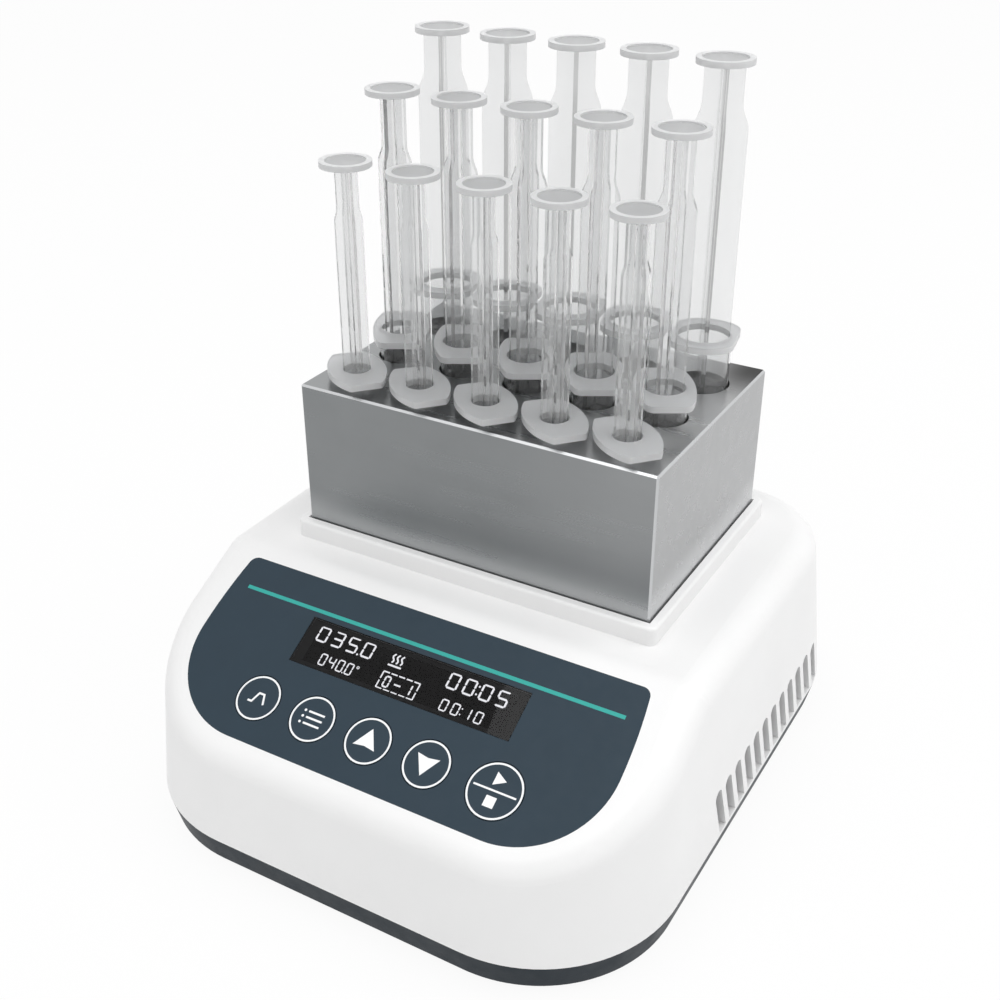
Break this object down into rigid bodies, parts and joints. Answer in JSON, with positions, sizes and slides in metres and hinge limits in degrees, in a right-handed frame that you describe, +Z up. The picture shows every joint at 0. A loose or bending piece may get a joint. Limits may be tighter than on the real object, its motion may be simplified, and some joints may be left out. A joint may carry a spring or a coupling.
{
  "type": "dry bath incubator with syringe block",
  "caption": "Benchtop dry bath with a sloped touch panel and a lift-out aluminium block whose three rows of holes hold clear syringes.",
  "frame": {"origin": "on the bench under the middle of the body", "axes": "+Z up, +X to the operator's right, +Y to the rear; the control panel faces -Y"},
  "size_m": [0.175, 0.206, 0.2246],
  "materials": {
    "housing_white": "satin moulded",
    "base_slate": "fine texture",
    "foot_rubber": "matt",
    "screw_steel": "plated",
    "block_aluminium": "fine milled",
    "tray_aluminium": "cast and milled",
    "probe_steel": "drawn tube",
    "heater_silicone": "moulded",
    "insulation_felt": "felt",
    "shield_steel": "galvanised",
    "cutout_body": "moulded",
    "overlay_slate": "printed film",
    "window_dark": "polished",
    "lcd_frame": "moulded",
    "board_green": "solder mask",
    "switch_black": "moulded",
    "module_black": "potted case",
    "inlet_black": "moulded",
    "pin_plated": "nickel plated",
    "panel_black": "fine texture",
    "fuse_glass": "clear",
    "rocker_black": "moulded",
    "key_slate": "printed film",
    "barrel_clear": "clear moulded",
    "plunger_clear": "clear moulded"
  },
  "bodies": {
    "base": {"base_pan": "base_slate", "control_board": "board_green", "display_window": "window_dark", "fasteners": "screw_steel", "heat_shield": "shield_steel", "heating_element": "heater_silicone", "inlet_pins": "pin_plated", "insulation_pad": "insulation_felt", "lcd_module": "lcd_frame", "membrane_overlay": "overlay_slate", "power_board": "board_green", "power_inlet": "inlet_black", "power_module": "module_black", "rear_panel": "panel_black", "rubber_feet": "foot_rubber", "switch_frame": "inlet_black", "tact_switches": "switch_black", "temperature_sensor": "probe_steel", "thermal_cutout": "cutout_body", "upper_housing": "housing_white", "well_tray": "tray_aluminium"},
    "heating_block": {"heating_block": "block_aluminium"},
    "rocker": {"rocker": "rocker_black"},
    "fuse_drawer": {"fuse_drawer": "inlet_black", "fuse": "fuse_glass"},
    "key_program": {"key_program": "key_slate"},
    "key_menu": {"key_menu": "key_slate"},
    "key_up": {"key_up": "key_slate"},
    "key_down": {"key_down": "key_slate"},
    "key_start_stop": {"key_start_stop": "key_slate"},
    "syringe_f1_barrel": {"syringe_f1_barrel": "barrel_clear"},
    "syringe_f1_plunger": {"syringe_f1_plunger": "plunger_clear"},
    "syringe_f2_barrel": {"syringe_f2_barrel": "barrel_clear"},
    "syringe_f2_plunger": {"syringe_f2_plunger": "plunger_clear"},
    "syringe_f3_barrel": {"syringe_f3_barrel": "barrel_clear"},
    "syringe_f3_plunger": {"syringe_f3_plunger": "plunger_clear"},
    "syringe_f4_barrel": {"syringe_f4_barrel": "barrel_clear"},
    "syringe_f4_plunger": {"syringe_f4_plunger": "plunger_clear"},
    "syringe_f5_barrel": {"syringe_f5_barrel": "barrel_clear"},
    "syringe_f5_plunger": {"syringe_f5_plunger": "plunger_clear"},
    "syringe_m1_barrel": {"syringe_m1_barrel": "barrel_clear"},
    "syringe_m1_plunger": {"syringe_m1_plunger": "plunger_clear"},
    "syringe_m2_barrel": {"syringe_m2_barrel": "barrel_clear"},
    "syringe_m2_plunger": {"syringe_m2_plunger": "plunger_clear"},
    "syringe_m3_barrel": {"syringe_m3_barrel": "barrel_clear"},
    "syringe_m3_plunger": {"syringe_m3_plunger": "plunger_clear"},
    "syringe_m4_barrel": {"syringe_m4_barrel": "barrel_clear"},
    "syringe_m4_plunger": {"syringe_m4_plunger": "plunger_clear"},
    "syringe_m5_barrel": {"syringe_m5_barrel": "barrel_clear"},
    "syringe_m5_plunger": {"syringe_m5_plunger": "plunger_clear"},
    "syringe_b1_barrel": {"syringe_b1_barrel": "barrel_clear"},
    "syringe_b1_plunger": {"syringe_b1_plunger": "plunger_clear"},
    "syringe_b2_barrel": {"syringe_b2_barrel": "barrel_clear"},
    "syringe_b2_plunger": {"syringe_b2_plunger": "plunger_clear"},
    "syringe_b3_barrel": {"syringe_b3_barrel": "barrel_clear"},
    "syringe_b3_plunger": {"syringe_b3_plunger": "plunger_clear"},
    "syringe_b4_barrel": {"syringe_b4_barrel": "barrel_clear"},
    "syringe_b4_plunger": {"syringe_b4_plunger": "plunger_clear"},
    "syringe_b5_barrel": {"syringe_b5_barrel": "barrel_clear"},
    "syringe_b5_plunger": {"syringe_b5_plunger": "plunger_clear"}
  },
  "joints": [
    {"name": "block_lift", "type": "slide", "parent": "base", "child": "heating_block", "axis": [0, 0, 1], "range_m": [0, 0.045]},
    {"name": "syringe_f1_lift", "type": "slide", "parent": "heating_block", "child": "syringe_f1_barrel", "axis": [0, 0, 1], "range_m": [0, 0.08]},
    {"name": "syringe_f1_press", "type": "slide", "parent": "syringe_f1_barrel", "child": "syringe_f1_plunger", "axis": [0, 0, -1], "range_m": [0, 0.0496]},
    {"name": "syringe_f2_lift", "type": "slide", "parent": "heating_block", "child": "syringe_f2_barrel", "axis": [0, 0, 1], "range_m": [0, 0.08]},
    {"name": "syringe_f2_press", "type": "slide", "parent": "syringe_f2_barrel", "child": "syringe_f2_plunger", "axis": [0, 0, -1], "range_m": [0, 0.0496]},
    {"name": "syringe_f3_lift", "type": "slide", "parent": "heating_block", "child": "syringe_f3_barrel", "axis": [0, 0, 1], "range_m": [0, 0.08]},
    {"name": "syringe_f3_press", "type": "slide", "parent": "syringe_f3_barrel", "child": "syringe_f3_plunger", "axis": [0, 0, -1], "range_m": [0, 0.0496]},
    {"name": "syringe_f4_lift", "type": "slide", "parent": "heating_block", "child": "syringe_f4_barrel", "axis": [0, 0, 1], "range_m": [0, 0.08]},
    {"name": "syringe_f4_press", "type": "slide", "parent": "syringe_f4_barrel", "child": "syringe_f4_plunger", "axis": [0, 0, -1], "range_m": [0, 0.0496]},
    {"name": "syringe_f5_lift", "type": "slide", "parent": "heating_block", "child": "syringe_f5_barrel", "axis": [0, 0, 1], "range_m": [0, 0.08]},
    {"name": "syringe_f5_press", "type": "slide", "parent": "syringe_f5_barrel", "child": "syringe_f5_plunger", "axis": [0, 0, -1], "range_m": [0, 0.0496]},
    {"name": "syringe_m1_lift", "type": "slide", "parent": "heating_block", "child": "syringe_m1_barrel", "axis": [0, 0, 1], "range_m": [0, 0.08]},
    {"name": "syringe_m1_press", "type": "slide", "parent": "syringe_m1_barrel", "child": "syringe_m1_plunger", "axis": [0, 0, -1], "range_m": [0, 0.051]},
    {"name": "syringe_m2_lift", "type": "slide", "parent": "heating_block", "child": "syringe_m2_barrel", "axis": [0, 0, 1], "range_m": [0, 0.08]},
    {"name": "syringe_m2_press", "type": "slide", "parent": "syringe_m2_barrel", "child": "syringe_m2_plunger", "axis": [0, 0, -1], "range_m": [0, 0.051]},
    {"name": "syringe_m3_lift", "type": "slide", "parent": "heating_block", "child": "syringe_m3_barrel", "axis": [0, 0, 1], "range_m": [0, 0.08]},
    {"name": "syringe_m3_press", "type": "slide", "parent": "syringe_m3_barrel", "child": "syringe_m3_plunger", "axis": [0, 0, -1], "range_m": [0, 0.051]},
    {"name": "syringe_m4_lift", "type": "slide", "parent": "heating_block", "child": "syringe_m4_barrel", "axis": [0, 0, 1], "range_m": [0, 0.08]},
    {"name": "syringe_m4_press", "type": "slide", "parent": "syringe_m4_barrel", "child": "syringe_m4_plunger", "axis": [0, 0, -1], "range_m": [0, 0.051]},
    {"name": "syringe_m5_lift", "type": "slide", "parent": "heating_block", "child": "syringe_m5_barrel", "axis": [0, 0, 1], "range_m": [0, 0.08]},
    {"name": "syringe_m5_press", "type": "slide", "parent": "syringe_m5_barrel", "child": "syringe_m5_plunger", "axis": [0, 0, -1], "range_m": [0, 0.051]},
    {"name": "syringe_b1_lift", "type": "slide", "parent": "heating_block", "child": "syringe_b1_barrel", "axis": [0, 0, 1], "range_m": [0, 0.08]},
    {"name": "syringe_b1_press", "type": "slide", "parent": "syringe_b1_barrel", "child": "syringe_b1_plunger", "axis": [0, 0, -1], "range_m": [0, 0.0507]},
    {"name": "syringe_b2_lift", "type": "slide", "parent": "heating_block", "child": "syringe_b2_barrel", "axis": [0, 0, 1], "range_m": [0, 0.08]},
    {"name": "syringe_b2_press", "type": "slide", "parent": "syringe_b2_barrel", "child": "syringe_b2_plunger", "axis": [0, 0, -1], "range_m": [0, 0.0507]},
    {"name": "syringe_b3_lift", "type": "slide", "parent": "heating_block", "child": "syringe_b3_barrel", "axis": [0, 0, 1], "range_m": [0, 0.08]},
    {"name": "syringe_b3_press", "type": "slide", "parent": "syringe_b3_barrel", "child": "syringe_b3_plunger", "axis": [0, 0, -1], "range_m": [0, 0.0507]},
    {"name": "syringe_b4_lift", "type": "slide", "parent": "heating_block", "child": "syringe_b4_barrel", "axis": [0, 0, 1], "range_m": [0, 0.08]},
    {"name": "syringe_b4_press", "type": "slide", "parent": "syringe_b4_barrel", "child": "syringe_b4_plunger", "axis": [0, 0, -1], "range_m": [0, 0.0507]},
    {"name": "syringe_b5_lift", "type": "slide", "parent": "heating_block", "child": "syringe_b5_barrel", "axis": [0, 0, 1], "range_m": [0, 0.08]},
    {"name": "syringe_b5_press", "type": "slide", "parent": "syringe_b5_barrel", "child": "syringe_b5_plunger", "axis": [0, 0, -1], "range_m": [0, 0.0507]},
    {"name": "key_program_press", "type": "slide", "parent": "base", "child": "key_program", "axis": [0, 0.4818, -0.8763], "range_m": [0, 0.0004], "stiffness_N_per_m": 1500, "springref_m": -0.0002},
    {"name": "key_menu_press", "type": "slide", "parent": "base", "child": "key_menu", "axis": [0, 0.4818, -0.8763], "range_m": [0, 0.0004], "stiffness_N_per_m": 1500, "springref_m": -0.0002},
    {"name": "key_up_press", "type": "slide", "parent": "base", "child": "key_up", "axis": [0, 0.4818, -0.8763], "range_m": [0, 0.0004], "stiffness_N_per_m": 1500, "springref_m": -0.0002},
    {"name": "key_down_press", "type": "slide", "parent": "base", "child": "key_down", "axis": [0, 0.4818, -0.8763], "range_m": [0, 0.0004], "stiffness_N_per_m": 1500, "springref_m": -0.0002},
    {"name": "key_start_stop_press", "type": "slide", "parent": "base", "child": "key_start_stop", "axis": [0, 0.4818, -0.8763], "range_m": [0, 0.0004], "stiffness_N_per_m": 1500, "springref_m": -0.0002},
    {"name": "rocker_hinge", "type": "hinge", "parent": "base", "child": "rocker", "pos_m": [-0.022, 0.0862, 0.0325], "axis": [-1, 0, 0], "range_deg": [0, 22]},
    {"name": "fuse_drawer_slide", "type": "slide", "parent": "base", "child": "fuse_drawer", "axis": [0, 1, 0], "range_m": [0, 0.014]}
  ]
}
